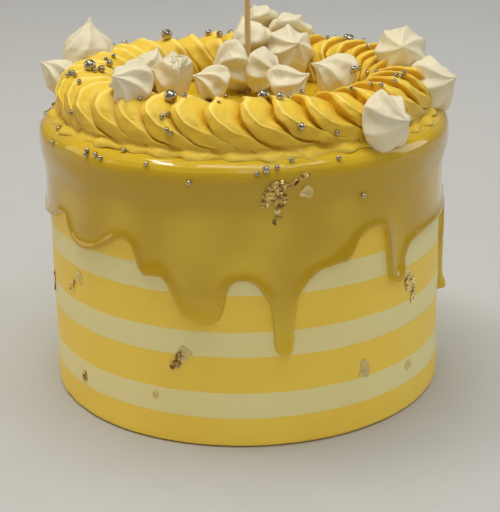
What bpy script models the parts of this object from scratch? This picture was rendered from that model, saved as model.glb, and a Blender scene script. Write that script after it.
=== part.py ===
"""A tall lemon layer cake with meringue kisses, as closed solids.

Yellow and white striped buttercream on a straight wall, a poured lemon glaze
with drips, a piped buttercream rope round the top, meringue kisses on and
inside the rope, silver pearls, gold leaf, and a thin stick for a topper.

Sizes are millimetres, turned into metres when a mesh is made. The cake stands
on z = 0 with its axis on z. A bearing is an angle in degrees seen from above,
0 at the front (-y) and growing towards +x.
"""

import math
from dataclasses import dataclass

import bmesh
import bpy
import numpy as np
from mathutils import Vector

MM = 0.001

# The cake
CAKE_HEIGHT = 143.0
FOOT_RADIUS = 104.6
SHOULDER_RADIUS = 103.0
SHOULDER_ROUND = 5.0
FOOT_BEVEL = 1.0
CAKE_SIDES = 48
GAP = 0.3
WELD = 0.03

# White bands, as the heights of their lower and upper edges
WHITE_BANDS = ((15.5, 29.0), (47.9, 60.9), (79.4, 92.1))
BAND_DEPTH = 3.0

# The glaze
GLAZE_TOP = 2.5
GLAZE_WALL = 1.9
GLAZE_LIP = 1.3
GLAZE_LIP_REACH = 4.5
GLAZE_LIP_RISE = 1.6
GLAZE_SKIRT_RISE = 11.0
GLAZE_EDGE = 0.9
GLAZE_BULGE = 2.1
GLAZE_BULGE_LOW = 122.0
GLAZE_HIGH_EDGE = 107.0
DRIP_BLEND = 4
COLUMNS_ROUND = 60
DRIP_COLUMNS = (-1.25, -0.95, -0.6, 0.6, 0.95, 1.25)
GLAZE_RIM = ((107.0, 135.5), (105.8, 141.0), (102.0, 144.4), (97.5, CAKE_HEIGHT + GLAZE_TOP))

# The piped rope
ROPE_STROKES = 36
ROPE_MIDDLE = 80.8
ROPE_HALF_WIDTH = 14.2
ROPE_HEIGHT = 17.6
ROPE_RELIEF = 5.4
ROPE_FOOT_RELIEF = 0.6
ROPE_FOOT_POWER = 4
ROPE_ROWS = 8
ROPE_FULLNESS = 0.75
ROPE_OUTER_LEAN = 1.8
ROPE_INNER_LEAN = 1.0
ROPE_LEAN_ENDS = 0.92
ROPE_LEAN_DELAY = 1.3

# The stick
STICK_PLACE = (2.9, 31.0)
STICK_RADIUS = 1.5
STICK_SIDES = 12
STICK_FOOT = 85.0
STICK_HEAD = 208.0

# Kisses, pearls and gold leaf
KISS_RIDGES = 7
KISS_VALLEY = 0.87
KISS_BELLY_AT = 0.38
KISS_SWIRL = 0.5
DENT = 1.045
LARGE_PEARL = 2.7
MIDDLE_PEARL = 1.8
SMALL_PEARL = 1.15
PEARL_SINK = 0.35
RIM_PEARL_SLOPE = 0.7
FLAKE_SINK = 0.6
FLAKE_PROUD = (0.5, 1.5)
FLAKE_TAPER = 2.4
FLAKE_RAGGED = 0.15
FLAKE_SEED = 7

YELLOW = (0.86, 0.62, 0.10)
WHITE = (0.90, 0.87, 0.72)
GLAZE = (0.85, 0.56, 0.06)
ROPE_YELLOW = (0.92, 0.66, 0.10)
MERINGUE = (0.92, 0.88, 0.78)
WOOD = (0.52, 0.35, 0.17)


@dataclass(frozen=True)
class Drip:
    """One tongue of the glaze's lower edge: where, how wide and how far down."""

    bearing: float
    half_width: float
    length: float
    squareness: float


@dataclass(frozen=True)
class Kiss:
    """One meringue kiss: the middle of its body, its size and where its tip points."""

    name: str
    middle: tuple
    radius: float
    height: float
    axis: tuple


DRIPS = (
    Drip(-92, 3.0, 20, 8),
    Drip(-75, 9.0, 10, 4),
    Drip(-48, 9.5, 15, 4),
    Drip(-24.5, 6.2, 20.5, 6),
    Drip(-12, 8.6, 42.5, 4),
    Drip(8, 24, 16.5, 8),
    Drip(9.5, 5.2, 30, 2.5),
    Drip(10, 3.1, 59, 10),
    Drip(45.2, 4.0, 33.5, 8),
    Drip(62, 13, 12.5, 6),
    Drip(86, 2.2, 62, 8),
    Drip(104, 7, 22, 5),
    Drip(122, 3.2, 46, 8),
    Drip(139, 9, 18, 4),
    Drip(157, 3.4, 57, 8),
    Drip(176, 8, 27, 5),
    Drip(197, 3.2, 40, 8),
    Drip(214, 9, 19, 4),
    Drip(232, 3.2, 60, 8),
    Drip(251, 7, 25, 5),
)

KISSES = (
    Kiss("kiss_left_tall", (-83, 36, 173), 14, 29, (0.05, 0.05, 1)),
    Kiss("kiss_left_low", (-101, 17, 159), 11, 20, (-0.7, 0, 0.7)),
    Kiss("kiss_front_left", (-54.5, -63.5, 173), 13, 19, (-0.55, -0.65, 0.5)),
    Kiss("kiss_chipped", (-37, 9, 160.4), 14, 22, (-0.8, 0.35, 0.15)),
    Kiss("kiss_back_left", (-51, 35, 160), 11, 20, (0.3, -0.3, 0.9)),
    Kiss("kiss_small", (-17.5, -8, 157), 10.5, 18, (-0.75, -0.45, 0.45)),
    Kiss("kiss_left_of_stick", (-7.5, 32, 159), 13.6, 19, (-0.85, -0.1, -0.1)),
    Kiss("kiss_right_of_stick", (15.2, 25.5, 157.8), 11.5, 19, (0.97, -0.1, 0.2)),
    Kiss("kiss_middle", (24, -13, 158.4), 12.5, 20, (0.6, -0.1, 0.6)),
    Kiss("kiss_leaning", (47.5, 6, 159.2), 12.7, 23, (-0.8, 0, 0.6)),
    Kiss("kiss_back_high", (10, 86, 173.5), 10.5, 22, (-0.25, 0.1, 1)),
    Kiss("kiss_back_slope", (0.5, 60, 168), 11.5, 21, (-0.4, -0.5, 0.75)),
    Kiss("kiss_back_crest", (30.8, 78, 172), 11.5, 20, (0.2, 0.2, 1)),
    Kiss("kiss_back_star", (26.5, 53, 163.5), 14.5, 20, (0.15, -0.85, 0.5)),
    Kiss("kiss_right_tall", (83, 11, 170), 14.5, 23, (0, -0.7, 0.7)),
    Kiss("kiss_right_low", (101.5, -15, 160.2), 15, 22, (0.83, -0.15, 0.5)),
    Kiss("kiss_front_right", (69.5, -78, 158.3), 14.5, 21, (0.72, -0.55, 0.35)),
)

# Share of the radius at each share of the height, foot to tip
KISS_PROFILE = ((0.0, 0.80), (0.16, 1.0), (0.45, 0.94), (0.68, 0.58), (0.86, 0.2))

# Share of the relief at each share of a stroke, from the groove over the ridge
STROKE_PROFILE = ((0.0, 0.0), (0.16, 1.0), (0.32, 0.8), (0.56, 0.72), (0.8, 0.42))

# Pearls on the rope: bearing, share of the way from inner to outer foot, radius
ROPE_PEARLS = (
    (-74, 0.46, LARGE_PEARL),
    (-67, 0.5, MIDDLE_PEARL),
    (-72, 0.58, SMALL_PEARL),
    (-78, 0.6, SMALL_PEARL),
    (-64, 0.62, SMALL_PEARL),
    (-62, 0.46, MIDDLE_PEARL),
    (-29, 0.52, LARGE_PEARL),
    (-34, 0.48, SMALL_PEARL),
    (-26, 0.5, SMALL_PEARL),
    (-27, 0.68, SMALL_PEARL),
    (-24, 0.79, SMALL_PEARL),
    (12, 0.51, LARGE_PEARL),
    (17, 0.52, MIDDLE_PEARL),
    (21, 0.49, SMALL_PEARL),
    (23, 0.75, MIDDLE_PEARL),
    (36, 0.8, SMALL_PEARL),
    (47, 0.49, SMALL_PEARL),
    (56, 0.44, SMALL_PEARL),
    (62, 0.4, SMALL_PEARL),
    (66, 0.48, SMALL_PEARL),
    (71, 0.52, SMALL_PEARL),
    (118, 0.5, LARGE_PEARL),
    (128, 0.56, MIDDLE_PEARL),
    (152, 0.5, MIDDLE_PEARL),
    (196, 0.5, MIDDLE_PEARL),
    (201, 0.52, MIDDLE_PEARL),
    (214, 0.5, LARGE_PEARL),
    (236, 0.58, SMALL_PEARL),
)

# Pearls on the glaze's rim: bearing, height, radius
GLAZE_PEARLS = (
    (-62, 140, SMALL_PEARL),
    (-58, 144, SMALL_PEARL),
    (-44.5, 143.6, SMALL_PEARL),
    (-40.5, 142, SMALL_PEARL),
    (-31.5, 144.4, SMALL_PEARL),
    (-25, 142.3, SMALL_PEARL),
    (-14, 136, SMALL_PEARL),
    (5.3, 141.2, MIDDLE_PEARL),
    (8.4, 142.2, SMALL_PEARL),
    (24, 143.6, SMALL_PEARL),
    (31.4, 125, SMALL_PEARL),
    (140, 142, SMALL_PEARL),
    (170, 143, SMALL_PEARL),
    (222, 141, SMALL_PEARL),
)


@dataclass(frozen=True)
class Flake:
    """One piece of gold leaf on a wall: where its middle is, how wide and how high."""

    bearing: float
    height: float
    wide: float
    high: float


GLAZE_FLAKES = (
    Flake(8.6, 129, 10, 15),
    Flake(13.6, 135, 4, 3.5),
    Flake(15.2, 130, 4, 4),
    Flake(-84, 138, 5, 6),
)
WALL_FLAKES = (
    Flake(-57.6, 70.5, 5, 5),
    Flake(-18.3, 41, 6.5, 9),
    Flake(-81, 69, 5, 9),
    Flake(33, 35, 5, 5),
    Flake(52.1, 70, 5.5, 13),
    Flake(150, 70, 5, 8),
    Flake(212, 38, 6, 7),
)
LOW_BAND_FLAKES = (Flake(-53.3, 21.5, 3.5, 7), Flake(128, 22, 5, 6))


def polar(bearing, radius, height):
    """The point at a bearing, a distance from the axis and a height."""
    angle = math.radians(bearing - 90)
    return (radius * math.cos(angle), radius * math.sin(angle), height)


def wall_radius(height):
    """The radius of the straight wall, a little wider at the foot."""
    return FOOT_RADIUS + (SHOULDER_RADIUS - FOOT_RADIUS) * height / CAKE_HEIGHT


def material(name, colour, roughness):
    """A plain Principled material."""
    made = bpy.data.materials.new(name)
    made.use_nodes = True
    shader = made.node_tree.nodes["Principled BSDF"]
    shader.inputs["Base Color"].default_value = (*colour, 1)
    shader.inputs["Roughness"].default_value = roughness
    made.diffuse_color = (*colour, 1)
    return made


def mesh_object(name, points, faces, finish):
    """An object from points in millimetres, its faces turned outwards."""
    mesh = bpy.data.meshes.new(name)
    mesh.from_pydata([[c * MM for c in p] for p in points], [], faces)
    shell = bmesh.new()
    shell.from_mesh(mesh)
    bmesh.ops.recalc_face_normals(shell, faces=shell.faces)
    if shell.calc_volume(signed=True) < 0:
        bmesh.ops.reverse_faces(shell, faces=shell.faces)
    shell.to_mesh(mesh)
    shell.free()
    mesh.materials.append(finish)
    made = bpy.data.objects.new(name, mesh)
    bpy.context.scene.collection.objects.link(made)
    return made


def ring_faces(first, second, count, shift=0):
    """Quads between two rings of points, given by the index each starts at."""
    faces = []
    for i in range(count):
        j = (i + 1) % count
        k = (i + shift) % count
        m = (i + 1 + shift) % count
        faces.append((first + i, first + j, second + m, second + k))
    return faces


def shoulder(grown):
    """The rounded shoulder from the wall up to the top, grown by a distance."""
    places = []
    for share in (0, 0.5, 1):
        angle = share * math.pi / 2
        reach = SHOULDER_ROUND + grown
        radius = SHOULDER_RADIUS - SHOULDER_ROUND + reach * math.cos(angle)
        places.append((radius, CAKE_HEIGHT - SHOULDER_ROUND + reach * math.sin(angle)))
    return places


def turned(name, profile, finish, closed_loop):
    """A solid of revolution: an open profile gets a flat face at each end."""
    points = []
    for radius, height in profile:
        for i in range(CAKE_SIDES):
            points.append(polar(360 * i / CAKE_SIDES, radius, height))
    faces = []
    for row in range(len(profile) - 1):
        faces += ring_faces(row * CAKE_SIDES, (row + 1) * CAKE_SIDES, CAKE_SIDES)
    last = (len(profile) - 1) * CAKE_SIDES
    if closed_loop:
        faces += ring_faces(last, 0, CAKE_SIDES)
    else:
        faces.append(tuple(reversed(range(CAKE_SIDES))))
        faces.append(tuple(range(last, last + CAKE_SIDES)))
    return mesh_object(name, points, faces, finish)


def boolean(target, tools, operation):
    """Apply one Boolean with all the tools, then remove them."""
    group = bpy.data.collections.new("tools")
    bpy.context.scene.collection.children.link(group)
    for tool in tools:
        bpy.context.scene.collection.objects.unlink(tool)
        group.objects.link(tool)
    step = target.modifiers.new("Boolean", "BOOLEAN")
    step.operation = operation
    step.solver = "EXACT"
    step.operand_type = "COLLECTION"
    step.collection = group
    bpy.context.view_layer.objects.active = target
    bpy.ops.object.modifier_apply(modifier=step.name)
    for tool in tools:
        bpy.data.objects.remove(tool)
    bpy.data.collections.remove(group)
    keep_main_piece(target)


def keep_main_piece(target):
    """Weld the slivers that a Boolean leaves and keep its main shell only."""
    shell = bmesh.new()
    shell.from_mesh(target.data)
    bmesh.ops.remove_doubles(shell, verts=shell.verts, dist=WELD * MM)
    bmesh.ops.dissolve_degenerate(shell, edges=shell.edges, dist=WELD * MM)
    bmesh.ops.triangulate(shell, faces=shell.faces)
    left = set(shell.faces)
    pieces = []
    while left:
        piece = [left.pop()]
        for face in piece:
            near = [f for e in face.edges for f in e.link_faces if f in left]
            fresh = set(near)
            left -= fresh
            piece += fresh
        pieces.append(piece)
    pieces.sort(key=len)
    scraps = [face for piece in pieces[:-1] for face in piece]
    bmesh.ops.delete(shell, geom=scraps, context="FACES")
    shell.to_mesh(target.data)
    shell.free()


def shade(target, angle=35):
    """Smooth shading with sharp edges where faces meet at more than the angle."""
    target.data.shade_smooth()
    target.data.set_sharp_from_angle(angle=math.radians(angle))


def stick_rod(radius, low, high, finish):
    """An upright round rod at the stick's place."""
    x, y = STICK_PLACE
    points = []
    for height in (low, high):
        for i in range(STICK_SIDES):
            angle = 2 * math.pi * i / STICK_SIDES
            points.append((x + radius * math.cos(angle), y + radius * math.sin(angle), height))
    faces = ring_faces(0, STICK_SIDES, STICK_SIDES)
    faces.append(tuple(range(STICK_SIDES)))
    faces.append(tuple(range(STICK_SIDES, 2 * STICK_SIDES)))
    return mesh_object("topper_stick", points, faces, finish)


def cake_body(finish):
    """The coated cake, with a groove for each white band."""
    profile = [(FOOT_RADIUS - FOOT_BEVEL, 0), (FOOT_RADIUS, FOOT_BEVEL)]
    for low, high in WHITE_BANDS:
        for height, depth in ((low, 0), (low, BAND_DEPTH), (high, BAND_DEPTH), (high, 0)):
            profile.append((wall_radius(height) - depth, height))
    profile += shoulder(0)
    return turned("cake_body", profile, finish, closed_loop=False)


def white_band(number, finish):
    """A band of white buttercream that fills its groove flush with the wall."""
    low, high = WHITE_BANDS[number - 1]
    low += GAP
    high -= GAP
    inner = BAND_DEPTH - GAP
    profile = []
    for height, depth in ((low, inner), (low, 0), (high, 0), (high, inner)):
        profile.append((wall_radius(height) - depth, height))
    return turned(f"white_band_{number}", profile, finish, closed_loop=True)


def glaze_edge(bearing):
    """The height of the glaze's lower edge, the drips blended into each other."""
    total = 0.0
    for drip in DRIPS:
        away = abs((bearing - drip.bearing + 180) % 360 - 180) / drip.half_width
        depth = drip.length * math.exp(-(away**drip.squareness))
        total += depth**DRIP_BLEND
    return GLAZE_HIGH_EDGE - total ** (1 / DRIP_BLEND)


def glaze_columns():
    """Bearings for the glaze's columns, close together where a drip is steep."""
    narrow = [d for d in DRIPS if d.half_width < 5]
    bearings = set()
    for i in range(COLUMNS_ROUND):
        bearing = i * 360 / COLUMNS_ROUND
        near = [abs((bearing - d.bearing + 180) % 360 - 180) < 1.5 * d.half_width for d in narrow]
        if not any(near):
            bearings.add(bearing)
    for drip in narrow:
        for share in DRIP_COLUMNS:
            bearings.add(round((drip.bearing + share * drip.half_width) % 360, 3))
    return sorted(bearings)


def glaze_skin(finish):
    """The poured glaze: a lid over the top and a skirt of drips down the wall."""
    bearings = glaze_columns()
    count = len(bearings)
    rows = []
    edges = [glaze_edge(b) for b in bearings]
    lip = GLAZE_WALL + GLAZE_LIP
    skirt = (
        (0, GLAZE_EDGE),
        (GLAZE_LIP_RISE, lip),
        (GLAZE_LIP_REACH, lip),
        (GLAZE_SKIRT_RISE, GLAZE_WALL),
    )
    for rise, thickness in skirt:
        rows.append([(wall_radius(e + rise) + thickness, e + rise) for e in edges])
    rows.append([(wall_radius(GLAZE_BULGE_LOW) + GLAZE_BULGE, GLAZE_BULGE_LOW)] * count)
    rows += [[place] * count for place in GLAZE_RIM]
    split = len(rows)
    rows += [[place] * count for place in reversed(shoulder(GAP))]
    rows.append([(wall_radius(e) + GAP, e) for e in edges])
    points = []
    for row in rows:
        points += [polar(b, *place) for b, place in zip(bearings, row)]
    faces = []
    for row in range(len(rows)):
        if row != split - 1:
            faces += ring_faces(row * count, ((row + 1) % len(rows)) * count, count)
    faces.append(tuple(range((split - 1) * count, split * count)))
    faces.append(tuple(range(split * count, (split + 1) * count)))
    return mesh_object("lemon_glaze", points, faces, finish)


def stroke_shift(across):
    """How far a stroke has leaned along the rope, in strokes, across the section."""
    share = 2 * across - 1
    lean = ROPE_OUTER_LEAN if share > 0 else ROPE_INNER_LEAN
    turn = math.pi * min(abs(share) / ROPE_LEAN_ENDS, 1) ** ROPE_LEAN_DELAY
    return math.copysign(lean * (1 - math.cos(turn)) / 2, share)


def stroke_relief(phase):
    """The relief of one stroke: a sharp rise to its ridge, then a long smooth face."""
    shares, heights = zip(*STROKE_PROFILE, (1.0, 0.0))
    return float(np.interp(phase % 1.0, shares, heights))


def rope_place(stroke, across, lift=0.0):
    """A point of the rope's surface, given along it in strokes and across it."""
    angle = math.pi * across
    side, up = -math.cos(angle), math.sin(angle)
    foot = abs(side) ** ROPE_FOOT_POWER
    relief = ROPE_RELIEF * stroke_relief(stroke) * (1 - (1 - ROPE_FOOT_RELIEF) * foot) + lift
    out = ROPE_HALF_WIDTH * math.copysign(abs(side) ** ROPE_FULLNESS, side) + relief * side
    floor = CAKE_HEIGHT + GLAZE_TOP + GAP
    height = floor + ROPE_HEIGHT * up**ROPE_FULLNESS + relief * up
    bearing = 360 * (stroke + stroke_shift(across)) / ROPE_STROKES
    return polar(bearing, ROPE_MIDDLE + out, height)


def piped_rope(finish):
    """The rope: overlapping strokes that lean round a ring, on a flat foot."""
    strokes = [k + share for k in range(ROPE_STROKES) for share, _ in STROKE_PROFILE]
    count = len(strokes)
    points = []
    for row in range(ROPE_ROWS):
        across = row / (ROPE_ROWS - 1)
        points += [rope_place(s, across) for s in strokes]
    faces = []
    for row in range(ROPE_ROWS - 1):
        faces += ring_faces(row * count, (row + 1) * count, count)
    per_stroke = len(STROKE_PROFILE)
    lean = round((stroke_shift(1.0) - stroke_shift(0.0)) * per_stroke)
    faces += ring_faces((ROPE_ROWS - 1) * count, 0, count, shift=lean)
    return mesh_object("piped_rope", points, faces, finish)


def kiss_solid(kiss, finish, scale=1.0):
    """A meringue kiss: ridges that swirl together into a soft tip."""
    axis = Vector(kiss.axis).normalized()
    side = axis.orthogonal().normalized()
    other = axis.cross(side)
    middle = Vector(kiss.middle)
    foot = middle - axis * kiss.height * KISS_BELLY_AT
    count = 2 * KISS_RIDGES
    points = []
    for share, width in KISS_PROFILE:
        for i in range(count):
            angle = math.pi * i / KISS_RIDGES + KISS_SWIRL * share
            radius = kiss.radius * width * (1 if i % 2 == 0 else KISS_VALLEY)
            spoke = side * math.cos(angle) + other * math.sin(angle)
            points.append(foot + axis * kiss.height * share + spoke * radius)
    points.append(foot + axis * kiss.height)
    rows = len(KISS_PROFILE)
    faces = [tuple(range(count))]
    for row in range(rows - 1):
        faces += ring_faces(row * count, (row + 1) * count, count)
    tip = rows * count
    last = (rows - 1) * count
    for i in range(count):
        faces.append((last + i, last + (i + 1) % count, tip))
    points = [middle + (p - middle) * scale for p in points]
    return mesh_object(kiss.name, points, faces, finish)


def pearl(place, radius, finish):
    """A sugar pearl as a ball with few sides."""
    ball = bmesh.new()
    bmesh.ops.create_icosphere(ball, subdivisions=1, radius=radius)
    points = [Vector(place) + v.co for v in ball.verts]
    faces = [tuple(v.index for v in f.verts) for f in ball.faces]
    ball.free()
    return mesh_object("pearl", points, faces, finish)


def rope_pearls(finish):
    """Pearls pressed a little into the rope."""
    made = []
    for bearing, across, radius in ROPE_PEARLS:
        stroke = bearing * ROPE_STROKES / 360 - stroke_shift(across)
        place = rope_place(stroke, across, lift=radius * (1 - PEARL_SINK))
        made.append(pearl(place, radius, finish))
    return made


def glaze_pearls(finish):
    """Pearls on the glazed margin round the rope."""
    made = []
    for bearing, height, radius in GLAZE_PEARLS:
        lift = RIM_PEARL_SLOPE * radius * (1 - PEARL_SINK)
        place = polar(bearing, glaze_radius(height) + lift, height + lift)
        made.append(pearl(place, radius, finish))
    return made


def glaze_radius(height):
    """The glaze's outer radius at a height between its skirt and its lid."""
    known = [(wall_radius(GLAZE_BULGE_LOW) + GLAZE_BULGE, GLAZE_BULGE_LOW), *GLAZE_RIM]
    radii, heights = zip(*known)
    return float(np.interp(height, heights, radii))


def flakes_on(places, surface, finish):
    """Crumpled gold leaf, as thin slabs sunk a little into a round wall."""
    draw = np.random.default_rng(FLAKE_SEED)
    grid = (-0.5, 0.0, 0.5)
    made = []
    for place in places:
        points = []
        for depth in (True, False):
            for up in grid:
                for side in grid:
                    ragged = draw.uniform(-FLAKE_RAGGED, FLAKE_RAGGED)
                    taper = 1 - FLAKE_TAPER * abs(up) * abs(side) + ragged
                    height = place.height + place.high * up * taper
                    radius = surface(height)
                    bearing = place.bearing + math.degrees(place.wide * side * taper / radius)
                    proud = -FLAKE_SINK if depth else draw.uniform(*FLAKE_PROUD)
                    points.append(polar(bearing, radius + proud, height))
        rim = (0, 1, 2, 5, 8, 7, 6, 3)
        faces = [(rim[i], rim[(i + 1) % 8], rim[(i + 1) % 8] + 9, rim[i] + 9) for i in range(8)]
        for corner in (0, 1, 3, 4):
            inner = (corner, corner + 1, corner + 4, corner + 3)
            faces.append(inner)
            faces.append(tuple(i + 9 for i in inner))
        made.append(mesh_object("flake", points, faces, finish))
    return made


def clear_scene():
    """Remove whatever the scene starts with."""
    for thing in list(bpy.data.objects):
        bpy.data.objects.remove(thing)


def main():
    """Build the cake, node by node."""
    clear_scene()
    yellow = material("yellow_buttercream", YELLOW, 0.55)
    white = material("white_buttercream", WHITE, 0.55)
    glossy = material("lemon_glaze", GLAZE, 0.15)
    piped = material("piped_buttercream", ROPE_YELLOW, 0.5)
    meringue = material("meringue", MERINGUE, 0.6)
    wood = material("wood", WOOD, 0.7)

    body = cake_body(yellow)
    boolean(body, flakes_on(WALL_FLAKES, wall_radius, yellow), "UNION")
    boolean(body, [stick_rod(STICK_RADIUS + GAP, STICK_FOOT - GAP, STICK_HEAD, wood)], "DIFFERENCE")
    bands = [white_band(number, white) for number in range(1, len(WHITE_BANDS) + 1)]
    boolean(bands[0], flakes_on(LOW_BAND_FLAKES, wall_radius, white), "UNION")

    glaze = glaze_skin(glossy)
    boolean(glaze, glaze_pearls(glossy) + flakes_on(GLAZE_FLAKES, glaze_radius, glossy), "UNION")
    boolean(glaze, [stick_rod(STICK_RADIUS + GAP, STICK_FOOT, STICK_HEAD, wood)], "DIFFERENCE")

    rope = piped_rope(piped)
    boolean(rope, rope_pearls(piped), "UNION")
    boolean(rope, [kiss_solid(kiss, meringue, DENT) for kiss in KISSES], "DIFFERENCE")

    kisses = [kiss_solid(kiss, meringue) for kiss in KISSES]
    stick = stick_rod(STICK_RADIUS, STICK_FOOT, STICK_HEAD, wood)
    for made in [body, *bands, glaze, rope, stick, *kisses]:
        shade(made)


main()
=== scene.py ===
"""Looks of a tall lemon layer cake with meringue kisses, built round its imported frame.

Lengths are millimetres until a mesh is made. A bearing is an angle in degrees
seen from above, 0 at the front (-y) and growing towards +x.
"""

from __future__ import annotations

import logging
import math
from dataclasses import dataclass
from enum import Enum

import bmesh
import bpy
import numpy as np
from mathutils import Matrix, Vector
from mathutils.bvhtree import BVHTree
from mathutils.kdtree import KDTree

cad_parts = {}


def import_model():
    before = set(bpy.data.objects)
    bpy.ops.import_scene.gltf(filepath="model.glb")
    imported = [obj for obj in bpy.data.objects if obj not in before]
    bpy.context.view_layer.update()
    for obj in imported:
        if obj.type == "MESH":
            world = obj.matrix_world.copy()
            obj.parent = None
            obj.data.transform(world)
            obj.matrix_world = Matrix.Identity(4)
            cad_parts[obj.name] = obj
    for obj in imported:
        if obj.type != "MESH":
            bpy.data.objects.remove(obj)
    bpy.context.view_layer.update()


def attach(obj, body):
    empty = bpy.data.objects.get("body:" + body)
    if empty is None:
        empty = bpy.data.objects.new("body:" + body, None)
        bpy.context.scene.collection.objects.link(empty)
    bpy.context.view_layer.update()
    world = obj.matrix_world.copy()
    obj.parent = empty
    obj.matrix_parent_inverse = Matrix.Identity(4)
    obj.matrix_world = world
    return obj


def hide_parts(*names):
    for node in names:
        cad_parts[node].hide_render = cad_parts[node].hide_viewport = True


log = logging.getLogger("cake")
MM = 0.001
ROOT = "root"
PICTURE = (500, 512)
WALL_HEIGHT = 143.0
WALL_FOOT = 104.6
WALL_TAPER = 1.6
UNROLLED = 104.0


def smooth(low: float, high: float, value: np.ndarray) -> np.ndarray:
    """A smooth step from 0 at low to 1 at high."""
    share = np.clip((value - low) / (high - low), 0, 1)
    return share * share * (3 - 2 * share)


def polar(bearing: np.ndarray, radius: np.ndarray, height: np.ndarray) -> np.ndarray:
    """Points in millimetres from bearings, distances from the axis and heights."""
    angle = np.radians(np.asarray(bearing) - 90)
    flat = np.broadcast_arrays(radius * np.cos(angle), radius * np.sin(angle), height)
    return np.stack(flat, axis=-1)


def waves(seed: int, angle: np.ndarray, low: int, high: int) -> np.ndarray:
    """A smooth random curve round the cake, about 1 at its widest.

    Args:
        seed: Fixes the curve.
        angle: Where to read it, in radians.
        low: Fewest waves round the cake.
        high: Most waves round the cake.

    Returns:
        One value for each angle.
    """
    draw = np.random.default_rng(seed)
    total = np.zeros(np.shape(angle))
    for count in range(low, high + 1):
        total += draw.normal() * np.cos(count * angle + draw.uniform(0, 2 * math.pi))
    return total / math.sqrt(high - low + 1)


def ripples(seed: int, points: np.ndarray, size: float, count: int = 24) -> np.ndarray:
    """A smooth random field in space, about 1 at its widest.

    Args:
        seed: Fixes the field.
        points: Where to read it, as rows of x, y and z.
        size: Length of a typical wave, in the units of the points.
        count: How many waves are added up.

    Returns:
        One value for each point.
    """
    draw = np.random.default_rng(seed)
    total = np.zeros(points.shape[:-1])
    for _ in range(count):
        way = draw.normal(size=3)
        way *= 2 * math.pi / (size * np.linalg.norm(way)) * draw.uniform(0.6, 1.6)
        total += np.cos(points @ way + draw.uniform(0, 2 * math.pi))
    return total * math.sqrt(2 / count)


def circle(count: int) -> np.ndarray:
    """Evenly spaced angles once round, in radians."""
    return np.linspace(0, 2 * math.pi, count, endpoint=False)


def soften(padded: np.ndarray, width: int, pad: int) -> np.ndarray:
    """Smooth a row of values and cut off what was padded at each end."""
    kernel = np.hanning(width)
    return np.convolve(padded, kernel / kernel.sum(), "same")[pad:-pad]


def curve(table: tuple, value: np.ndarray, soft: int = 15) -> np.ndarray:
    """Read a table of pairs as a curve with rounded corners.

    Args:
        table: Pairs of place and value, in order.
        value: Where to read the curve.
        soft: How wide the rounding is, in 400ths of the table.

    Returns:
        One value for each place.
    """
    places, heights = zip(*table)
    fine = np.linspace(places[0], places[-1], 401)
    padded = np.pad(np.interp(fine, places, heights), soft, "edge")
    return np.interp(value, fine, soften(padded, soft + 2, soft))


def wall_radius(height: np.ndarray) -> np.ndarray:
    """The radius of the straight wall, a little wider at the foot."""
    return WALL_FOOT - WALL_TAPER * np.asarray(height) / WALL_HEIGHT


def wrap_rows(rows: int, count: int, shift: int = 0, close: bool = False) -> np.ndarray:
    """Quads of a grid whose rows are closed loops.

    Args:
        rows: How many loops there are.
        count: Points in each loop.
        shift: How far the last loop is turned against the first when they join.
        close: Whether the last loop joins the first.

    Returns:
        The quads as rows of four indices.
    """
    column = np.arange(count)
    after = (column + 1) % count
    faces = []
    for row in range(rows - 1 + close):
        near, far = row * count, ((row + 1) % rows) * count
        turn = shift if row == rows - 1 else 0
        up, up_after = (column + turn) % count, (after + turn) % count
        faces.append(np.stack([near + column, near + after, far + up_after, far + up], axis=1))
    return np.concatenate(faces)


def capped(rows: int, count: int) -> list:
    """Faces of a stack of closed loops, with one face over each end."""
    last = (rows - 1) * count
    return [*wrap_rows(rows, count), range(count), range(last, last + count)]


def mesh_piece(
    name: str, points: np.ndarray, faces: list, outward: bool = True
) -> bpy.types.Object:
    """An object made from points in millimetres.

    Args:
        name: Its name.
        points: Rows of x, y and z.
        faces: Tuples of point indices.
        outward: Whether to turn its faces outwards.

    Returns:
        The linked object, smooth shaded.
    """
    mesh = bpy.data.meshes.new(name)
    mesh.from_pydata((np.asarray(points) * MM).tolist(), [], [tuple(map(int, f)) for f in faces])
    if outward:
        shell = bmesh.new()
        shell.from_mesh(mesh)
        bmesh.ops.recalc_face_normals(shell, faces=shell.faces)
        if shell.calc_volume(signed=True) < 0:
            bmesh.ops.reverse_faces(shell, faces=shell.faces)
        shell.to_mesh(mesh)
        shell.free()
    mesh.shade_smooth()
    made = bpy.data.objects.new(name, mesh)
    bpy.context.scene.collection.objects.link(made)
    return made


def set_attribute(piece: bpy.types.Object, name: str, values: np.ndarray) -> None:
    """Store one number for each point of a piece."""
    layer = piece.data.attributes.new(name, "FLOAT", "POINT")
    layer.data.foreach_set("value", np.asarray(values, np.float32).ravel())


def tree_of(piece: bpy.types.Object) -> BVHTree:
    """A search tree of a piece's faces, in metres."""
    return BVHTree.FromObject(piece, bpy.context.evaluated_depsgraph_get())


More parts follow.
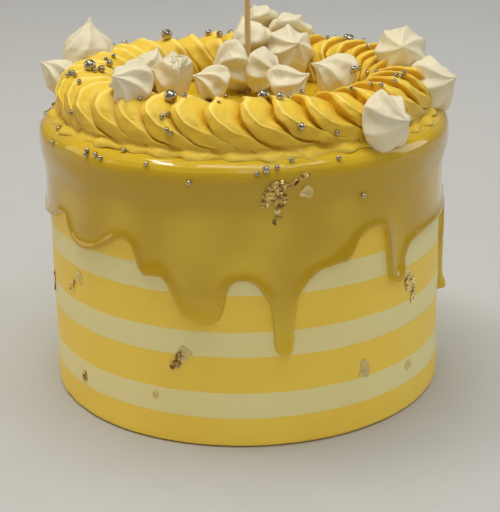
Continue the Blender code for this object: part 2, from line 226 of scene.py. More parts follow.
class Num:
    """A shader value that adds Math nodes when it is used in an expression."""

    def __init__(self, graph: "Graph", socket: bpy.types.NodeSocket) -> None:
        """Wrap a socket."""
        self.graph = graph
        self.socket = socket

    def _math(self, operation: str, first: object, second: object) -> "Num":
        """One Math node on two values."""
        made = self.graph.add("ShaderNodeMath", {"operation": operation}, {0: first, 1: second})
        return Num(self.graph, made.outputs[0])

    def __add__(self, other: object) -> "Num":
        """self + other"""
        return self._math("ADD", self, other)

    __radd__ = __add__

    def __mul__(self, other: object) -> "Num":
        """self * other"""
        return self._math("MULTIPLY", self, other)

    __rmul__ = __mul__

    def clamp(self) -> "Num":
        """The value kept between 0 and 1."""
        made = self.graph.add("ShaderNodeClamp", {}, {"Value": self})
        return Num(self.graph, made.outputs[0])

    def step(self, low: float, high: float) -> "Num":
        """A smooth step from 0 at low to 1 at high."""
        settings = {"interpolation_type": "SMOOTHSTEP"}
        made = self.graph.add(
            "ShaderNodeMapRange", settings, {"Value": self, "From Min": low, "From Max": high}
        )
        return Num(self.graph, made.outputs[0])


class Graph:
    """A material and the nodes that dress it."""

    def __init__(self, name: str) -> None:
        """Start from a plain Principled material."""
        self.material = bpy.data.materials.new(name)
        self.material.use_nodes = True
        self.tree = self.material.node_tree
        self.shader = self.tree.nodes["Principled BSDF"]

    def add(self, kind: str, settings: dict, inputs: dict) -> bpy.types.Node:
        """One node.

        Args:
            kind: The node's type.
            settings: Its properties, set first.
            inputs: Values or links for its sockets, by name or index.

        Returns:
            The node.
        """
        node = self.tree.nodes.new(kind)
        for name, value in settings.items():
            setattr(node, name, value)
        for name, value in inputs.items():
            self.put(node.inputs[name], value)
        return node

    def put(self, socket: bpy.types.NodeSocket, value: object) -> None:
        """Link or set one socket."""
        if isinstance(value, Num):
            value = value.socket
        if isinstance(value, bpy.types.NodeSocket):
            self.tree.links.new(value, socket)
        elif socket.type == "RGBA" and len(value) == 3:
            socket.default_value = (*value, 1)
        else:
            socket.default_value = value

    def place(self, stretch: tuple = (1, 1, 1)) -> bpy.types.NodeSocket:
        """Object coordinates, stretched along the axes."""
        where = self.add("ShaderNodeTexCoord", {}, {})
        mapping = self.add("ShaderNodeMapping", {}, {0: where.outputs["Object"], "Scale": stretch})
        return mapping.outputs[0]

    def noise(self, scale: float, detail: float = 2.0, stretch: tuple = (1, 1, 1)) -> Num:
        """Smooth noise between about 0.3 and 0.7, its scale in waves a metre."""
        inputs = {"Vector": self.place(stretch), "Scale": scale, "Detail": detail}
        return Num(self, self.add("ShaderNodeTexNoise", {}, inputs).outputs["Fac"])

    def cells(self, scale: float) -> Num:
        """Distance to the nearest of many scattered points, in cells."""
        inputs = {"Vector": self.place(), "Scale": scale}
        return Num(self, self.add("ShaderNodeTexVoronoi", {}, inputs).outputs["Distance"])

    def attribute(self, name: str) -> Num:
        """A number that the piece stores at its points."""
        made = self.add("ShaderNodeAttribute", {"attribute_name": name}, {})
        return Num(self, made.outputs["Fac"])

    def mix(self, share: object, first: object, second: object) -> bpy.types.NodeSocket:
        """A colour between two colours."""
        made = self.add("ShaderNodeMix", {"data_type": "RGBA"}, {0: share, 6: first, 7: second})
        return made.outputs[2]

    def bump(self, height: Num, distance: float, strength: float) -> bpy.types.NodeSocket:
        """A normal from a height, its distance in metres."""
        inputs = {"Height": height, "Distance": distance, "Strength": strength}
        return self.add("ShaderNodeBump", {}, inputs).outputs[0]

    def soak(self, weight: float, radius: tuple, scale: float) -> None:
        """Let light into the surface a little."""
        self.surface(Subsurface_Weight=weight, Subsurface_Radius=radius, Subsurface_Scale=scale)

    def surface(self, **inputs: object) -> bpy.types.Material:
        """Set the shader's sockets, by names with _ for spaces, and give the material."""
        for name, value in inputs.items():
            self.put(self.shader.inputs[name.replace("_", " ")], value)
        return self.material


class Tone(Enum):
    """Linear base colours of the cake's finishes."""

    YELLOW = (0.91, 0.65, 0.070)
    YELLOW_DEEP = (0.88, 0.60, 0.056)
    WHITE = (0.83, 0.735, 0.345)
    WHITE_WARM = (0.82, 0.71, 0.295)
    GLAZE = (0.545, 0.34, 0.008)
    # Paler glaze where it runs thin, also used as the painted highlight over the rim and the lid.
    GLAZE_THIN_AND_HIGHLIGHT = (0.74, 0.51, 0.030)
    ROPE = (0.80, 0.55, 0.046)
    # Painted shade for the rope's grooves, bands and foot.
    ROPE_SHADED = (0.68, 0.38, 0.012)
    # Painted highlight for the rope's crests.
    ROPE_CREST_HIGHLIGHT = (0.92, 0.70, 0.14)
    MERINGUE = (0.76, 0.69, 0.48)
    # Painted warm bounce light for the kisses' lower parts.
    MERINGUE_BOUNCE_LIT = (0.86, 0.755, 0.51)
    SILVER = (0.62, 0.56, 0.42)
    SILVER_DULL = (0.46, 0.40, 0.28)
    GOLD = (1.0, 0.78, 0.32)
    GOLD_DARK = (0.40, 0.25, 0.07)
    LEAF = (0.84, 0.68, 0.31)
    WOOD = (0.72, 0.51, 0.24)
    WOOD_DARK = (0.60, 0.41, 0.18)


@dataclass(frozen=True)
class Buttercream:
    """Smoothed buttercream: fine sweeps of the scraper and small air holes."""

    name: str
    tone: Tone
    deep: Tone
    roughness: float = 0.44

    def material(self) -> bpy.types.Material:
        """The material."""
        graph = Graph(self.name)
        sweep = graph.noise(40, 2, (1, 1, 6))
        cloud = graph.noise(18, 2)
        holes = graph.cells(150).step(0.0, 0.07)
        height = sweep * 0.2 + graph.noise(900, 2) * 0.12 + holes * 0.6
        share = (cloud * 0.7 + sweep * 0.3).step(0.3, 0.7)
        graph.soak(0.1, (0.006, 0.004, 0.0012), 0.4)
        return graph.surface(
            Base_Color=graph.mix(share, self.deep.value, self.tone.value),
            Roughness=(cloud * 0.16 + (self.roughness - 0.08)).clamp(),
            Normal=graph.bump(height, 0.00018, 0.4),
        )


@dataclass(frozen=True)
class Glaze:
    """Poured glaze: wet, thick and a little cloudy."""

    name: str = "lemon_glaze_gloss"

    def material(self) -> bpy.types.Material:
        """The material."""
        graph = Graph(self.name)
        cloud = graph.noise(16, 2)
        ripple = graph.noise(45, 2, (1, 1, 1.6))
        ring = graph.attribute("ring") * 1.9 + ripple * 7.0
        wave = Num(graph, graph.add("ShaderNodeMath", {"operation": "SINE"}, {0: ring}).outputs[0])
        wave = wave * graph.attribute("rim")
        graph.soak(0.1, (0.006, 0.004, 0.001), 0.5)
        return graph.surface(
            # Paler where the glaze is thin, plus a painted highlight over the rim and the lid.
            Base_Color=graph.mix(
                graph.attribute("thin").clamp(), Tone.GLAZE.value, Tone.GLAZE_THIN_AND_HIGHLIGHT.value
            ),
            Roughness=(cloud * 0.12 + 0.07).clamp(),
            Normal=graph.bump(ripple + wave * 0.10, 0.0009, 0.4),
            Specular_IOR_Level=0.25,
            Coat_Weight=0.7,
            Coat_Roughness=0.03,
        )


@dataclass(frozen=True)
class Piping:
    """Piped buttercream, with painted shade in its grooves, on its bands and under its foot, and a
    painted highlight on its ridges.
    """

    name: str = "piped_buttercream_satin"

    def material(self) -> bpy.types.Material:
        """The material."""
        graph = Graph(self.name)
        relief = graph.attribute("relief")
        # Painted shade in the grooves and bands, darkest at the foot, and a painted highlight on
        # the crests.
        low = graph.mix(relief.step(0.0, 0.8), Tone.ROPE_SHADED.value, Tone.ROPE.value)
        high = graph.mix(relief.step(0.93, 1.06), low, Tone.ROPE_CREST_HIGHLIGHT.value)
        grain = graph.noise(900, 2) * 0.9 + graph.noise(260, 2) * 0.5
        graph.soak(0.1, (0.006, 0.004, 0.001), 0.35)
        return graph.surface(
            Base_Color=high,
            Roughness=(graph.noise(60, 2) * 0.2 + 0.34).clamp(),
            Normal=graph.bump(grain, 0.00025, 0.5),
        )


@dataclass(frozen=True)
class Meringue:
    """Dry baked meringue: matte and chalky, with painted warm bounce light on its lower parts."""

    name: str = "meringue_matte"

    def material(self) -> bpy.types.Material:
        """The material."""
        graph = Graph(self.name)
        foot = graph.attribute("foot")
        grain = graph.noise(1400, 3) * 0.4 + graph.noise(240, 2) * 0.8
        # Lower parts blend to the painted warm bounce light.
        share = (foot + graph.noise(60, 2) * 0.3).step(0.5, 1.4)
        graph.soak(0.12, (0.006, 0.0045, 0.002), 0.35)
        return graph.surface(
            Base_Color=graph.mix(share, Tone.MERINGUE.value, Tone.MERINGUE_BOUNCE_LIT.value),
            Roughness=(graph.noise(90, 2) * 0.25 + 0.28).clamp(),
            Normal=graph.bump(grain, 0.0002, 0.5),
        )


@dataclass(frozen=True)
class Metal:
    """Silver sugar shell or gold leaf."""

    name: str
    bright: Tone
    dull: Tone
    roughness: float
    grain: float

    def material(self) -> bpy.types.Material:
        """The material."""
        graph = Graph(self.name)
        patch = graph.noise(400, 2)
        return graph.surface(
            Base_Color=graph.mix(patch.step(0.4, 0.54), self.dull.value, self.bright.value),
            Metallic=1.0,
            Roughness=(patch * 0.2 + self.roughness).clamp(),
            Normal=graph.bump(graph.noise(900, 3), self.grain, 0.6),
        )


@dataclass(frozen=True)
class Wood:
    """A plain wooden stick with long grain."""

    name: str = "stick_wood"

    def material(self) -> bpy.types.Material:
        """The material."""
        graph = Graph(self.name)
        grain = graph.noise(900, 3, (1, 1, 0.04))
        return graph.surface(
            Base_Color=graph.mix(grain.step(0.35, 0.65), Tone.WOOD_DARK.value, Tone.WOOD.value),
            Roughness=(grain * 0.2 + 0.5).clamp(),
            Normal=graph.bump(grain, 0.0002, 0.6),
        )


def dress(piece: bpy.types.Object, finish: bpy.types.Material) -> bpy.types.Object:
    """Give a piece its finish and let it ride on the cake."""
    piece.data.materials.clear()
    piece.data.materials.append(finish)
    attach(piece, ROOT)
    return piece


@dataclass
class Wall:
    """The coated wall and its white stripes."""

    columns: int = 420
    rows: int = 96
    foot_round: float = 1.6
    wave: float = 0.12
    stripes: tuple = ((15.5, 29.0), (47.9, 60.9), (79.4, 92.1))
    stripe_rows: int = 18
    stripe_proud: float = 0.10
    stripe_depth: float = 2.4
    overrun: float = 0.14
    edge_wave: float = 0.11

    def surface(self, angle: np.ndarray, height: np.ndarray) -> np.ndarray:
        """The wall's radius with the broad unevenness that the scraper leaves."""
        around = np.stack(np.broadcast_arrays(np.cos(angle), np.sin(angle), height * 0.02), -1)
        return wall_radius(height) + self.wave * ripples(3, around, 0.9)

    def coat(self) -> bpy.types.Object:
        """The yellow coat from foot to top."""
        angle = circle(self.columns)
        bearing = np.degrees(angle)
        heights = np.concatenate([[0, 0.3, 0.8], np.linspace(1.6, 138, self.rows)])
        loops = []
        for height in heights:
            tuck = self.foot_round * (1 - min(height / self.foot_round, 1)) ** 2
            tuck = tuck + 0.25 * np.abs(waves(9, angle, 9, 30)) * math.exp(-height / 2.5)
            loops.append(polar(bearing, self.surface(angle, height) - tuck, height))
        for radius, height in ((101.5, 141.5), (98.0, WALL_HEIGHT)):
            loops.append(polar(bearing, radius + 0 * angle, height + 0 * angle))
        faces = capped(len(loops), self.columns)
        piece = mesh_piece("buttercream_coat", np.concatenate(loops), faces)
        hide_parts("cake_body")
        return piece

    def stripe(self, number: int) -> bpy.types.Object:
        """One white stripe, level with the wall and a little uneven at its edges.

        Args:
            number: Which stripe, 1 at the foot.

        Returns:
            The piece.
        """
        low, high = self.stripes[number - 1]
        angle = circle(self.columns)
        bearing = np.degrees(angle)
        low_edge = low + self.edge_wave * waves(20 + number, angle, 4, 60)
        high_edge = high + self.edge_wave * waves(30 + number, angle, 4, 60)
        loops = []
        for share in np.linspace(-self.overrun, 1 + self.overrun, self.stripe_rows):
            height = low_edge + (high_edge - low_edge) * share
            inside = min(share, 1 - share) / self.overrun
            proud = self.stripe_proud * (1 - (1 - min(max(inside, -1), 1)) ** 2)
            loops.append(polar(bearing, self.surface(angle, height) + proud, height))
        for edge in (high_edge, low_edge):
            loops.append(polar(bearing, wall_radius(edge) - self.stripe_depth, edge))
        faces = list(wrap_rows(len(loops), self.columns, close=True))
        piece = mesh_piece(f"white_stripe_{number}", np.concatenate(loops), faces)
        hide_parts(f"white_band_{number}")
        return piece

    def build(self) -> list[bpy.types.Object]:
        """Make and dress the wall and its stripes."""
        yellow = Buttercream("yellow_buttercream_satin", Tone.YELLOW, Tone.YELLOW_DEEP)
        white = Buttercream("white_buttercream_satin", Tone.WHITE, Tone.WHITE_WARM)
        pieces = [dress(self.coat(), yellow.material())]
        white_finish = white.material()
        for number in range(1, len(self.stripes) + 1):
            pieces.append(dress(self.stripe(number), white_finish))
        return pieces


@dataclass
class GlazeCoat:
    """The poured glaze: its lid, its rounded rim and its drips."""

    seen_edge: tuple = (
        (-97, 104), (-94, 96), (-92.5, 88.5), (-90.5, 87), (-88.8, 90), (-87, 99),
        (-83, 98.5), (-76, 96.8), (-68, 99), (-62, 104.2), (-58, 104.6), (-55.6, 96),
        (-52.5, 92.8), (-50, 92.0), (-46.5, 91.7), (-43, 93.6), (-39, 97.8), (-36, 101.8),
        (-34.2, 102.8), (-32.4, 102.4), (-31.2, 100.6), (-30, 95.5), (-29.4, 90.2),
        (-27.6, 86.3), (-24.5, 86.6), (-22.4, 87.0), (-20.9, 83.5), (-19.7, 78.5),
        (-18.2, 72.6), (-16.6, 68.4), (-14, 65.6), (-11.5, 64.3), (-9, 64.6), (-6.8, 67.2),
        (-5.6, 73), (-4.7, 81), (-3.6, 85), (-1.8, 86.8), (0.5, 86.8), (2.6, 85.0),
        (4.2, 81.3), (5.6, 77.4), (6.5, 73.5), (7.2, 64), (7.3, 56), (7.6, 50.8), (8.6, 48.3),
        (10.0, 47.6), (11.4, 48.5), (12.3, 51.2), (12.7, 57), (12.9, 66.4), (13.5, 76),
        (14.7, 80.8), (16.9, 85.6), (19.7, 89.6), (23.4, 91), (27.6, 92.4), (29.8, 96.5),
        (31.5, 102.6), (34.4, 105.8), (37.5, 106.3), (39.8, 104.6), (40.9, 98.5), (41.4, 88.2),
        (41.8, 79.5), (43, 75.4), (45.2, 73.2), (47.2, 74.2), (48.3, 78), (48.6, 86),
        (50.2, 91.4), (54.4, 93.7), (60, 94.6), (68, 94.8), (75, 95.5), (80, 96.5), (83, 96),
        (84.6, 91), (85.0, 70), (84.8, 50), (84.7, 45.4), (85.6, 43.2), (87.0, 43.1),
        (88.0, 45.2), (88.0, 52), (87.7, 70), (88.2, 92), (90, 98), (94, 100.5),
    )
    hidden_drips: tuple = (
        (104, 7, 22, 5), (122, 3.2, 46, 8), (139, 9, 18, 4), (157, 3.4, 57, 8),
        (176, 8, 27, 5), (197, 3.2, 40, 8), (214, 9, 19, 4), (232, 3.2, 60, 8), (251, 7, 25, 5),
    )
    hidden_span: tuple = (96.0, 263.0)
    high_edge: float = 107.0
    skirt_top: float = 138.5
    columns: int = 1480
    finer: int = 4
    rows: int = 44
    skin: float = 1.5
    inset: float = 1.2
    lip: float = 1.9
    lip_width: float = 2.6
    bulbs: tuple = (
        (-90.5, 91, 5, 1.6), (-49, 95.5, 7, 0.7), (-24, 89.5, 5.5, 1.3), (-12, 68.5, 8, 1.1),
        (10, 51.5, 4.5, 1.9), (27, 95, 6, 0.9), (45.3, 77, 4.5, 1.8), (86.4, 46.5, 4, 2.3),
        (122, 65, 5, 1.7), (157, 54, 5, 1.9), (176, 84, 8, 0.9), (197, 71, 5, 1.7),
        (232, 51, 5, 1.9), (104, 89, 8, 0.9), (251, 86, 8, 0.9),
    )
    rim: tuple = (
        (122.0, 105.25), (128.0, 106.2), (132.0, 106.75), (135.5, 107.0), (138.5, 106.8),
        (141.0, 105.9), (143.0, 104.3), (144.3, 102.0), (145.1, 99.0), (145.5, 95.5),
    )
    lid: float = 145.5
    drip_pale: float = 0.75
    # How far the rim and the lid are painted towards the paler glaze, as a painted highlight.
    rim_painted_highlight: float = 0.6

    def edge_curve(self) -> tuple[np.ndarray, np.ndarray]:
        """The glaze's lower edge all round, as bearings and heights a step apart."""
        bearing, height = (np.array(c, float) for c in zip(*self.seen_edge))
        back = np.arange(*self.hidden_span, 0.25)
        total = np.zeros(len(back))
        for middle, half, length, squareness in self.hidden_drips:
            away = np.abs(back - middle) / half
            total += (length * np.exp(-(away**squareness))) ** 4
        hidden = self.high_edge - total**0.25
        hidden += 1.2 * waves(51, np.radians(back), 8, 40)
        bearing = np.concatenate([bearing, back])
        height = np.concatenate([height, hidden])
        bearing = np.append(bearing, bearing[0] + 360)
        height = np.append(height, height[0])
        x = np.radians(bearing) * UNROLLED
        run = np.concatenate([[0], np.cumsum(np.hypot(np.diff(x), np.diff(height)))])
        even = np.linspace(0, run[-1], self.columns * self.finer, endpoint=False)
        bearing, height = np.interp(even, run, bearing), np.interp(even, run, height)
        wide = np.concatenate([bearing[-20:] - 360, bearing, bearing[:20] + 360])
        tall = np.concatenate([height[-20:], height, height[:20]])
        bearing, height = soften(wide, 15, 20), soften(tall, 15, 20)
        steady = np.linspace(bearing[0], bearing[0] + 360, len(bearing), endpoint=False)
        return 0.99 * np.maximum.accumulate(bearing) + 0.01 * steady, height

    def profile(self, height: np.ndarray) -> np.ndarray:
        """The glaze's radius where it is thick, from the skirt over the rim."""
        low = wall_radius(height) + self.skin
        heights, radii = zip(*self.rim)
        high = np.interp(height, heights, radii)
        share = smooth(112, 126, height)
        return low * (1 - share) + high * share

    def skirt(self) -> tuple[np.ndarray, np.ndarray, np.ndarray]:
        """The skirt's grid from the lower edge to the foot of the lid.

        Returns:
            Its points by row and column, how thin it is there, and the columns' bearings.
        """
        bearing, edge = self.edge_curve()
        outline = KDTree(len(bearing))
        for index, (b, e) in enumerate(zip(bearing, edge)):
            outline.insert((math.radians(b) * UNROLLED, e, 0), index)
        outline.balance()
        column, foot = bearing[:: self.finer], edge[:: self.finer]
        share = np.linspace(0, 1, self.rows) ** 1.15
        height = foot[None, :] + (self.skirt_top - foot[None, :]) * share[:, None]
        x = np.broadcast_to(np.radians(column) * UNROLLED, height.shape)
        away = np.empty(height.shape)
        for row in range(height.shape[0]):
            for k in range(height.shape[1]):
                away[row, k] = outline.find((x[row, k], height[row, k], 0))[2]
        away[0] = 0
        dome = np.sqrt(1 - (1 - np.clip(away / self.lip_width, 0, 1)) ** 2)
        swell = np.exp(-((away / (1.5 * self.lip_width)) ** 2))
        body = self.profile(height) - wall_radius(height)
        low = smooth(118, 100, height)
        angle = x / UNROLLED
        around = np.stack([np.cos(angle), np.sin(angle), height * 0.008], -1)
        thick = body * (1 + 0.16 * ripples(61, around, 0.42) * (1 - smooth(126, 136, height)))
        extra = self.lip * swell
        for bearing_at, height_at, size, more in self.bulbs:
            turn = (angle - math.radians(bearing_at) + math.pi) % (2 * math.pi) - math.pi
            apart = np.hypot(turn * UNROLLED, height - height_at)
            extra = extra + more * np.exp(-((apart / size) ** 2))
        thick = (thick + extra * low) * dome
        radius = wall_radius(height) - 0.45 * (1 - smooth(0, 0.4, away)) + thick
        points = polar(np.degrees(angle), radius, height)
        drips = self.drip_pale * smooth(94, 58, height)
        # The glaze low down is paler where it runs thin; the top of the rim gets a painted
        # highlight.
        pale = np.maximum(drips, self.rim_painted_highlight * smooth(134, 144, height))
        return points, np.maximum(smooth(2.2, 0.6, thick), pale), column

    def build(self) -> list[bpy.types.Object]:
        """Make and dress the glaze."""
        points, thin, column = self.skirt()
        count = len(column)
        angle = np.radians(column)
        loops, marks = list(points), list(thin)
        around = np.stack([np.cos(angle), np.sin(angle), 0 * angle], -1)
        sway = ripples(71, around, 0.5)
        for height, radius in self.rim[5:]:
            loops.append(polar(column, radius + 0.3 * sway, height + 0.25 * sway))
            # The rim rows get the painted highlight.
            marks.append(np.full(count, self.rim_painted_highlight))
        for radius in (88.0, 70.0, 60.0, 40.0, 12.0):
            dip = 0.35 * ripples(72, around * radius / 60, 0.7)
            loops.append(polar(column, radius + 0 * angle, self.lid + dip))
            # The lid gets the painted highlight too.
            marks.append(np.full(count, self.rim_painted_highlight))
        for radius, height in ((12.0, 143.2), (98.0, 143.2), (102.5, 140.0)):
            loops.append(polar(column, radius + 0 * angle, height + 0 * angle))
            marks.append(np.zeros(count))
        inner = points[0].copy()
        out = np.hypot(inner[:, 0], inner[:, 1])
        inner[:, :2] *= (out - self.inset)[:, None] / out[:, None]
        loops.append(inner)
        marks.append(np.zeros(count))
        lid_row = self.rows + len(self.rim[5:]) + 4
        faces = [f for f in wrap_rows(len(loops), count, close=True) if f[0] // count != lid_row]
        for row in (lid_row, lid_row + 1):
            faces.append(range(row * count, (row + 1) * count))
        points = np.concatenate(loops)
        piece = mesh_piece("glaze_coat", points, faces)
        # The thin mark blends to the paler glaze: thin glaze, plus a painted highlight over the rim
        # and the lid.
        set_attribute(piece, "thin", np.concatenate(marks))
        out = np.hypot(points[:, 0], points[:, 1])
        set_attribute(piece, "ring", out - points[:, 2])
        set_attribute(piece, "rim", smooth(128, 140, points[:, 2]) * smooth(93, 99, out))
        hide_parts("lemon_glaze")
        return [dress(piece, Glaze().material())]


@dataclass
class Rope:
    """The piped rope: overlapping petals that lean round a ring.

    A petal starts with a steep rise over the petal before it. Then comes its upright band,
    then its lip, and behind the lip its face falls away to the next petal.
    """

    strokes: int = 36
    rise: int = 7
    band: int = 9
    face: int = 16
    middle: float = 80.8
    half_width: float = 14.2
    height: float = 17.6
    relief: float = 5.2
    fullness: float = 0.75
    floor: float = 145.8
    rise_width: float = 0.09
    inner_lean: float = 1.07
    groove: tuple = (
        (0.0, 0.0), (0.15, -0.07), (0.3, -0.10), (0.42, -0.06), (0.52, 0.02), (0.62, 0.13),
        (0.70, 0.23), (0.78, 0.35), (0.84, 0.49), (0.88, 0.66), (0.91, 0.90), (0.935, 1.25),
        (1.0, 2.2),
    )
    lip: tuple = (
        (0.0, 0.12), (0.3, 0.14), (0.45, 0.19), (0.55, 0.27), (0.62, 0.38), (0.68, 0.55),
        (0.72, 0.74), (0.76, 0.90), (0.80, 0.95), (1.0, 0.95),
    )
    outer_face: tuple = (
        (0.0, 0.97), (0.06, 0.91), (0.16, 0.87), (0.32, 0.85), (0.5, 0.76), (0.68, 0.58),
        (0.84, 0.34), (1.0, 0.02),
    )
    inner_face: tuple = (
        (0.0, 1.0), (0.1, 0.84), (0.25, 0.66), (0.42, 0.62), (0.58, 0.74), (0.7, 0.88),
        (0.82, 0.80), (0.92, 0.42), (1.0, 0.02),
    )
    ruffle: tuple = (
        (-0.6, 0.0, 0.88), (-0.5, 0.14, 0.78), (-0.3, 0.30, 0.72), (-0.1, 0.46, 0.67),
        (0.0, 0.62, 0.60), (0.0, 0.76, 0.51), (0.0, 0.88, 0.40), (0.0, 0.96, 0.28),
        (0.0, 1.0, 0.14), (0.0, 0.97, 0.0),
    )
    inner_rows: int = 24
    top_rows: int = 17
    outer_rows: int = 34
    brow: float = 0.74
    last_row: float = 0.9625
    lid_radius: float = 95.5
    tail: float = 92.0
    ruffle_reach: float = 5.4
    unevenness: float = 0.25
    band_shade: float = 0.42
    petal_softness: int = 48
    lobe_softness: int = 10

    def columns(self) -> np.ndarray:
        """Where the columns of one petal lie: 0-1 its rise, 1-2 its band, 2-3 its face."""
        rise = np.linspace(0, 1, self.rise, endpoint=False)
        band = 1 + np.linspace(0, 1, self.band, endpoint=False)
        face = 2 + np.linspace(0, 1, self.face, endpoint=False) ** 1.15
        return np.concatenate([rise, band, face])

    def place(self, number: np.ndarray, local: np.ndarray, across: float) -> tuple:
        """One loop of the rope's surface.

        Args:
            number: The petal of each point.
            local: Where each point is in its petal, from columns.
            across: Place across the rope, from 0 at the inner foot to 1 at the outer foot.

        Returns:
            The bearings, radii and heights, and how proud each point is.
        """
        draw = np.random.default_rng(5)
        tall, wide, early = (draw.uniform(-1, 1, self.strokes)[number] for _ in range(3))
        share = 2 * across - 1
        outer = max(share, 0.0)
        near = outer * (1 + 0.05 * early)
        lip = curve(self.lip, near) if share > 0 else np.full(len(number), self.lip[0][1])
        start = self.rise_width
        low = 0.45 * float(smooth(0.55, 0.85, np.array(outer)))
        climb = np.clip(local, 0, 1)
        level = np.clip(local - 1, 0, 1)
        back = np.clip(local - 2, 0, 1)
        phase = start * climb + (lip - start) * level + (1 - lip) * back
        face = curve(self.outer_face, back)
        if share < 0:
            hollow = float(smooth(0.1, 0.6, np.array(-share)))
            face = face * (1 - hollow) + curve(self.inner_face, back) * hollow
        shape = np.where(local < 1, climb**0.8, 1 - 0.12 * level * (lip - start))
        ridge = 0.10 * np.exp(-((np.minimum(np.abs(local - 2), 1) / 0.16) ** 2))
        shape = np.where(local < 2, shape, (1 - 0.12 * (lip - start)) * face / 0.97) + ridge
        bell = np.sin(np.pi * phase)
        crest = np.exp(-(((local - 2) / 0.2) ** 2))
        # The band is darkened as painted shade, kept bright near the lip.
        shaded_relief = np.where(local < 2, shape * (self.band_shade + (1 - self.band_shade) * crest), shape)
        shape = low + (1 - low) * shape * (1 + 0.15 * tall * bell)
        angle = math.pi * across
        side, up = -math.cos(angle), math.sin(angle)
        foot = abs(side) ** 4
        moved = number + phase
        if share > 0:
            moved = moved + curve(self.groove, near)
        else:
            moved = moved - self.inner_lean * (-share) ** 2.5
        edge = np.exp(-(((phase - start) / 0.06) ** 2))
        inland = float(smooth(0, 0.25, np.array(1 - foot)))
        moved = moved + 0.07 * wide * bell - 0.12 * edge * inland
        turn = 2 * np.pi * moved / self.strokes
        swell = 1 + 0.035 * waves(81, turn, 3, 12)
        relief = self.relief * shape * (1 - 0.35 * foot)
        out = math.copysign(self.half_width * abs(side) ** self.fullness, side)
        out = out * swell + relief * side
        rise = self.height * up**self.fullness * swell + relief * up
        radius = self.middle + out + 0.6 * waves(82, turn, 2, 9)
        return 360 * moved / self.strokes, radius, self.floor + rise, shaded_relief

    def lobes(self, bearing: np.ndarray) -> np.ndarray:
        """How far the ruffle at the foot spreads at each bearing."""
        place = bearing * self.strokes / 360 - 0.35
        draw = np.random.default_rng(15)
        size, jog = draw.uniform(0.6, 1.1, self.strokes), draw.uniform(-0.10, 0.10, self.strokes)
        total = np.full(len(bearing), 0.12)
        for shift in (-1, 0, 1):
            number = (np.floor(place).astype(int) + shift) % self.strokes
            along = place - np.floor(place) - shift + jog[number]
            round_end = np.clip(1 - (1 - np.clip(along / 0.36, 0, 1)) ** 2, 0, 1) ** 0.6
            lobe = round_end * np.clip(1 - 0.82 * (along - 0.3) / 0.9, 0, 1) * size[number]
            total = np.maximum(total, np.where((along > 0) & (along < 1.5), lobe, 0))
        return self.ruffle_reach * total

    def even(
        self, bearing: np.ndarray, values: np.ndarray, at: np.ndarray, soft: int
    ) -> np.ndarray:
        """Read values round the ring, smoothed.

        Args:
            bearing: Where the values are, in degrees.
            values: The values.
            at: Where to read them, in degrees.
            soft: How wide the smoothing is, in quarters of a degree.

        Returns:
            One smoothed value for each place.
        """
        grid = np.arange(0, 360, 0.25)
        read = np.interp(grid, bearing, values, period=360)
        wide = np.concatenate([read[-soft:], read, read[:soft]])
        return np.interp(at, grid, soften(wide, soft + 2, soft), period=360)

    def build(self) -> list[bpy.types.Object]:
        """Make and dress the rope."""
        local = np.tile(self.columns(), self.strokes)
        number = np.repeat(np.arange(self.strokes), self.rise + self.band + self.face)
        count = len(local)
        rows = np.concatenate([
            0.5 - 0.5 * np.linspace(1, 0, self.inner_rows, endpoint=False) ** 0.9,
            np.linspace(0.5, self.brow, self.top_rows, endpoint=False),
            np.linspace(self.brow, self.last_row, self.outer_rows),
        ])
        loops, marks = [], []
        for across in rows:
            bearing, radius, height, shaded_relief = self.place(number, local, float(across))
            loops.append(polar(bearing, radius, height))
            marks.append(shaded_relief)
        steady = 360 * np.arange(count) / count
        steady += np.mean(bearing - steady)
        onward = 0.97 * np.maximum.accumulate(bearing) + 0.03 * steady
        lid = tuple((-r, z) for z, r in GlazeCoat.rim)
        for tuck, share, full in self.ruffle:
            slide = float(smooth(-0.1, 0.4, np.array(share)))
            turned = onward * (1 - slide) + steady * slide
            calm = float(smooth(-0.1, 0.25, np.array(share)))
            near, top = (
                v * (1 - calm) + self.even(bearing, v, turned, self.petal_softness) * calm
                for v in (radius, height)
            )
            reach = self.even(turned, self.lobes(turned), turned, self.lobe_softness)
            slim = 0.62 * (1 - np.clip(reach / self.ruffle_reach, 0, 1)) * calm
            far = near + tuck + reach * share
            ground = curve(lid, -np.maximum(far, self.lid_radius), 5)
            loops.append(polar(turned, far, ground + (top - ground) * full * (1 - slim)))
            # The ruffle is painted darker where it tucks under, as painted shade.
            marks.append(np.full(count, 0.55 + 0.45 * share))
        loops.append(polar(bearing, np.full(count, self.tail), np.full(count, self.floor - 0.1)))
        # The tail under the rope is painted darkest, as painted shade.
        marks.append(np.zeros(count))
        last = float(curve(self.groove, np.array(2 * rows[-1] - 1))) + self.inner_lean
        shift = round(last) * (count // self.strokes)
        faces = wrap_rows(len(loops), count, shift=shift, close=True)
        points = np.concatenate(loops)
        for seed, size, share in ((91, 11.0, 1.0), (94, 4.0, 0.22)):
            sway = np.stack([ripples(seed + i, points, size) for i in range(3)], 1)
            points += self.unevenness * share * sway
        piece = mesh_piece("rope_piping", points, list(faces))
        # The relief mark sets the painted shade and painted highlight of the rope's colour.
        set_attribute(piece, "relief", np.concatenate(marks))
        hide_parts("piped_rope")
        return [dress(piece, Piping().material())]


@dataclass(frozen=True)
class Kiss:
    """One meringue kiss: the middle of its body, its size and where its tip points."""

    name: str
    middle: tuple
    radius: float
    height: float
    axis: tuple
    swirl: float = 0.9
    tip: float = 0.0
    turn: float = 0.0
    crisp: float = 1.0
    broken: bool = False


